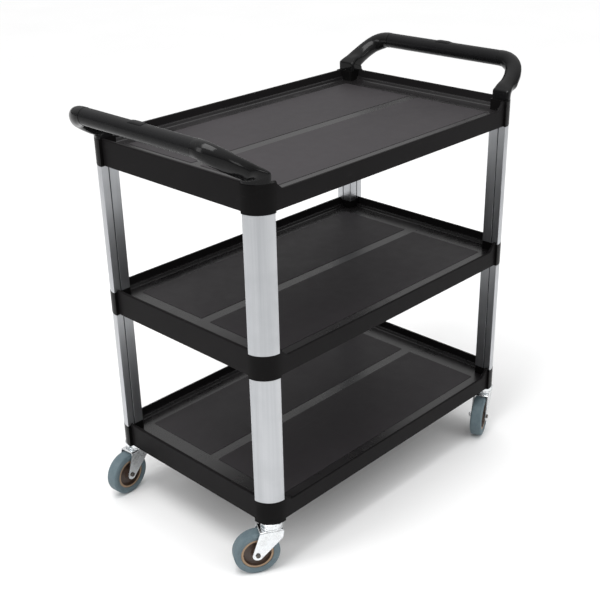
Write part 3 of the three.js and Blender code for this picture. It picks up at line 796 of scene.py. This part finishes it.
def race_shape():
    low, high = FORK_TOP + FIT_GAP, FORK_TOP + 5.5
    return turned(rounded([
        (5.9, low, 0), (RACE_RADIUS - 1.5, low, 1.2), (RACE_RADIUS, low + 2.4, 1),
        (RACE_RADIUS, high, 1.2), (RACE_RADIUS - 3.5, high, 0.4), (RACE_RADIUS - 4.2, high - 1.6, 0.4),
        (5.9, high - 1.6, 0),
    ]))


def fork_mesh():
    """Pressed yoke: a bent channel trimmed to the outline of its side plates."""
    outer = FORK_INNER_HALF + FORK_PLATE
    bend = 4.5
    channel = rounded([
        (-outer, 0, 0), (-outer, FORK_TOP, bend), (outer, FORK_TOP, bend), (outer, 0, 0),
        (FORK_INNER_HALF, 0, 0), (FORK_INNER_HALF, FORK_TOP - FORK_PLATE, bend - FORK_PLATE),
        (-FORK_INNER_HALF, FORK_TOP - FORK_PLATE, bend - FORK_PLATE), (-FORK_INNER_HALF, 0, 0),
    ], steps=8)
    length = 70
    points, faces = extruded(channel, -length, length)
    channel_mesh = make_mesh("caster_fork", ([(z, x, y) for x, y, z in points], faces))
    lug = [(*point, 0) for point in arc(12, -140, 8, 20, TRAIL, WHEEL_RADIUS)]
    side = rounded([(-20, FORK_TOP - 20, 8), *lug, (29, FORK_TOP + 0.01, 4), (-23, FORK_TOP + 0.01, 4)])
    points, faces = extruded(side, -outer - 5, outer + 5)
    side_mesh = make_mesh("side", ([(x, z, y) for x, y, z in points], faces))
    return carved(channel_mesh, side_mesh, "INTERSECT")


def tyre_shape():
    half = TYRE_HALF
    flat = half - 5
    return on_axle(turned(rounded([
        (TYRE_BORE, -half + 1.6, 0.4), (WHEEL_RADIUS - 6.5, -half, 1.2), (WHEEL_RADIUS - 0.4, -flat - 2.6, 3),
        (WHEEL_RADIUS, 0, 0), (WHEEL_RADIUS - 0.4, flat + 2.6, 3), (WHEEL_RADIUS - 6.5, half, 1.2),
        (TYRE_BORE, half - 1.6, 0.4),
    ]), 96))


def hub_shape():
    """Hub with a raised rim and a boss; the rim faces are tan."""
    rim, boss, rim_half, web = TYRE_BORE - FIT_GAP, 15.6, 12.4, 5
    corners = [
        (4.4, -boss, 0), (11, -boss, 1), (12.5, -web, 2), (rim - 7, -web, 2), (rim - 5, -rim_half, 0.8),
        (rim, -rim_half, 0.8), (rim, rim_half, 0.8), (rim - 5, rim_half, 0.8), (rim - 7, web, 2),
        (12.5, web, 2), (11, boss, 1), (4.4, boss, 0),
    ]
    profile = rounded(corners)
    points, faces = turned(profile, 96)
    numbers = []
    for i in range(len(faces)):
        a = profile[i % len(profile)]
        b = profile[(i + 1) % len(profile)]
        on_rim_face = abs(a.y) > rim_half - 0.5 and abs(b.y) > rim_half - 0.5 and a.x > rim - 6
        numbers.append(int(on_rim_face))
    return on_axle((points, faces)), numbers


def axle_shape():
    """Bolt with a low round head on the near plate; its end stands out of the nut."""
    face = FORK_INNER_HALF + FORK_PLATE + FIT_GAP
    return on_axle(turned(rounded([
        (0, -face - 3, 0), (5.2, -face - 3, 1.4), (5.2, -face, 0.3), (AXLE_RADIUS, -face, 0),
        (AXLE_RADIUS, face + 6.5, 0.9), (0, face + 6.5, 0),
    ]), 32))


def nut_shape():
    face = FORK_INNER_HALF + FORK_PLATE + FIT_GAP
    across, chamfer = 6.5, 0.8
    outer = arc(across, 0, 300, 5)
    inner = arc(AXLE_RADIUS + FIT_GAP, 0, 300, 5)
    small = [point * (1 - chamfer / across) for point in outer]
    rows = [
        at_height(inner, face), at_height(outer, face), at_height(outer, face + 5 - chamfer / 2),
        at_height(small, face + 5), at_height(inner, face + 5),
    ]
    return on_axle(grid(rows, wrap_rows=True))


def socket_mesh(corner):
    """Plug that fills the pocket of a column and holds the caster's stem."""
    bottom = TRAYS["bottom_tray"] + COLUMN_BOTTOM + FIT_GAP
    top = TRAYS["bottom_tray"] + POCKET_CEILING - FIT_GAP
    outline = quarter_outline(POCKET_RADIUS - FIT_GAP, POCKET_LOW + FIT_GAP, POCKET_CORNER_RADIUS)
    small = [point * 0.98 + Vector((0.4, 0.4)) for point in outline]
    shape = placed(loft([
        at_height(small, bottom), at_height(outline, bottom + 0.8), at_height(outline, top)]), corner)
    return make_mesh("caster_socket", shape)


def caster_place(name):
    """Where a caster stands and which way it trails, from its two joints."""
    joints = {joint["name"]: joint for joint in frame["joints"]}
    pivot = joints[f"swivel_turn_{name}"]
    spin = joints[f"wheel_spin_{name}"]
    x, y = pivot["pos_m"][:2]
    trail = Vector(spin["pos_m"][:2]) - Vector((x, y))
    return Matrix.Translation((x, y, 0)) @ Matrix.Rotation(math.atan2(trail.y, trail.x), 4, "Z")


def add_caster(name, corner):
    place = caster_place(name)
    swivel, wheel = f"swivel_{name}", f"wheel_{name}"

    def add(part, mesh, body, slot, materials, **how):
        node = f"caster_{part}_{name}"
        add_piece(f"{node}_part", mesh, body, slot, materials, [node], place=place, **how)

    add("stem", make_mesh("stem", stem_shape()), "frame", "zinc_steel", [ZINC])
    add("race", make_mesh("race", race_shape()), swivel, "zinc_steel", [ZINC])
    add("fork", fork_mesh(), swivel, "zinc_steel", [ZINC], bevel=0.35)
    hub, numbers = hub_shape()
    add("hub", make_mesh("hub", hub, numbers), wheel, "hub_plastic", [HUB_BROWN, HUB_TAN])
    add("tyre", make_mesh("tyre", tyre_shape()), wheel, "tyre_rubber", [RUBBER])
    add("axle", make_mesh("axle", axle_shape()), swivel, "zinc_steel", [DARK_STEEL])
    add("nut", make_mesh("nut", nut_shape()), swivel, "zinc_steel", [ZINC])
    node = f"caster_socket_{name}"
    mesh = socket_mesh(corner)
    add_piece(f"{node}_plug", mesh, "frame", "socket_plastic", [SOCKET_PLASTIC], [node])


# ---- stage, lights and camera: metres, degrees and watts ----
FLOOR_HALF_SIZE = 60
HORIZON_GLOW = 0.13
ZENITH_GLOW = 1.5
LIGHT_TARGET = (0, 0, 0.8)
LIGHTS = {                          # place, size, power
    "overhead": ((-0.6, -0.15, 2.25), (0.8, 1.4), 25),
    "side": ((-2.8, 0.6, 1.9), (0.7, 1.6), 14),
    "front": ((0.6, -3.0, 1.9), (1.6, 0.7), 12),
}
CAMERA_PLACE = (-1.6269, -1.5446, 1.4817)
CAMERA_AZIMUTH = 45.614
CAMERA_DOWN = 25.153
CAMERA_ROLL = -1.24
CAMERA_LENS = 62.893                # millimetres, on a sensor 36 wide
CAMERA_SENSOR = 36


def add_floor():
    mesh = bpy.data.meshes.new("floor")
    sides = ((-1, -1), (1, -1), (1, 1), (-1, 1))
    corners = [(x * FLOOR_HALF_SIZE, y * FLOOR_HALF_SIZE, 0) for x, y in sides]
    mesh.from_pydata(corners, [], [(0, 1, 2, 3)])
    floor = bpy.data.objects.new("floor", mesh)
    bpy.context.scene.collection.objects.link(floor)
    look = Look("floor_paper", Roughness=0.9)
    look.shader.inputs["Specular IOR Level"].default_value = 0.0
    look.colour(look.blend(look.spread(look.noise(1.5), 0, 1), (0.93, 0.93, 0.93), (0.95, 0.95, 0.95)))
    mesh.materials.append(look.material)


def add_area_light(name, place, target, size, power):
    data = bpy.data.lights.new(name, "AREA")
    data.shape = "RECTANGLE"
    data.size, data.size_y = size
    data.energy = power
    light = bpy.data.objects.new(name, data)
    light.location = place
    light.rotation_mode = "QUATERNION"
    light.rotation_quaternion = (Vector(target) - Vector(place)).to_track_quat("-Z", "Y")
    bpy.context.scene.collection.objects.link(light)


def add_world():
    """Even white dome that is dim at the horizon and bright overhead."""
    world = bpy.data.worlds.new("studio")
    world.use_nodes = True
    tree = world.node_tree
    direction = tree.nodes.new("ShaderNodeTexCoord").outputs["Generated"]
    parts = tree.nodes.new("ShaderNodeSeparateXYZ")
    tree.links.new(direction, parts.inputs["Vector"])
    strength = tree.nodes.new("ShaderNodeMapRange")
    strength.inputs["To Min"].default_value = HORIZON_GLOW
    strength.inputs["To Max"].default_value = ZENITH_GLOW
    tree.links.new(parts.outputs["Z"], strength.inputs["Value"])
    background = tree.nodes["Background"]
    background.inputs["Color"].default_value = (1, 1, 1, 1)
    tree.links.new(strength.outputs["Result"], background.inputs["Strength"])
    bpy.context.scene.world = world


def add_lights():
    for name, (place, size, power) in LIGHTS.items():
        add_area_light(name, place, LIGHT_TARGET, size, power)


def add_camera():
    """Camera above the front left corner, looking down along the trolley."""
    azimuth = math.radians(CAMERA_AZIMUTH)
    down = math.radians(CAMERA_DOWN)
    roll = math.radians(CAMERA_ROLL)
    forward = Vector((
        math.cos(down) * math.sin(azimuth), math.cos(down) * math.cos(azimuth), -math.sin(down)))
    level_right = Vector((math.cos(azimuth), -math.sin(azimuth), 0))
    level_up = level_right.cross(forward)
    right = level_right * math.cos(roll) + level_up * math.sin(roll)
    up = level_up * math.cos(roll) - level_right * math.sin(roll)
    data = bpy.data.cameras.new("camera")
    data.sensor_width = CAMERA_SENSOR
    data.lens = CAMERA_LENS
    data.clip_end = 200
    camera = bpy.data.objects.new("camera", data)
    turn = Matrix((right, up, -forward)).transposed().to_4x4()
    camera.matrix_world = Matrix.Translation(CAMERA_PLACE) @ turn
    bpy.context.scene.collection.objects.link(camera)
    bpy.context.scene.camera = camera


add_camera()
for tray, rim in TRAYS.items():
    add_tray(tray, rim)
for name, corner in CORNERS.items():
    add_upright("upper", "middle_tray", "top_tray", name, corner)
    add_upright("lower", "bottom_tray", "middle_tray", name, corner)
for name, side in {"left": -1, "right": 1}.items():
    add_handle(name, side)
for name, corner in CORNERS.items():
    add_caster(name, corner)
add_floor()
add_world()
add_lights()
bpy.context.scene.view_settings.view_transform = "Standard"
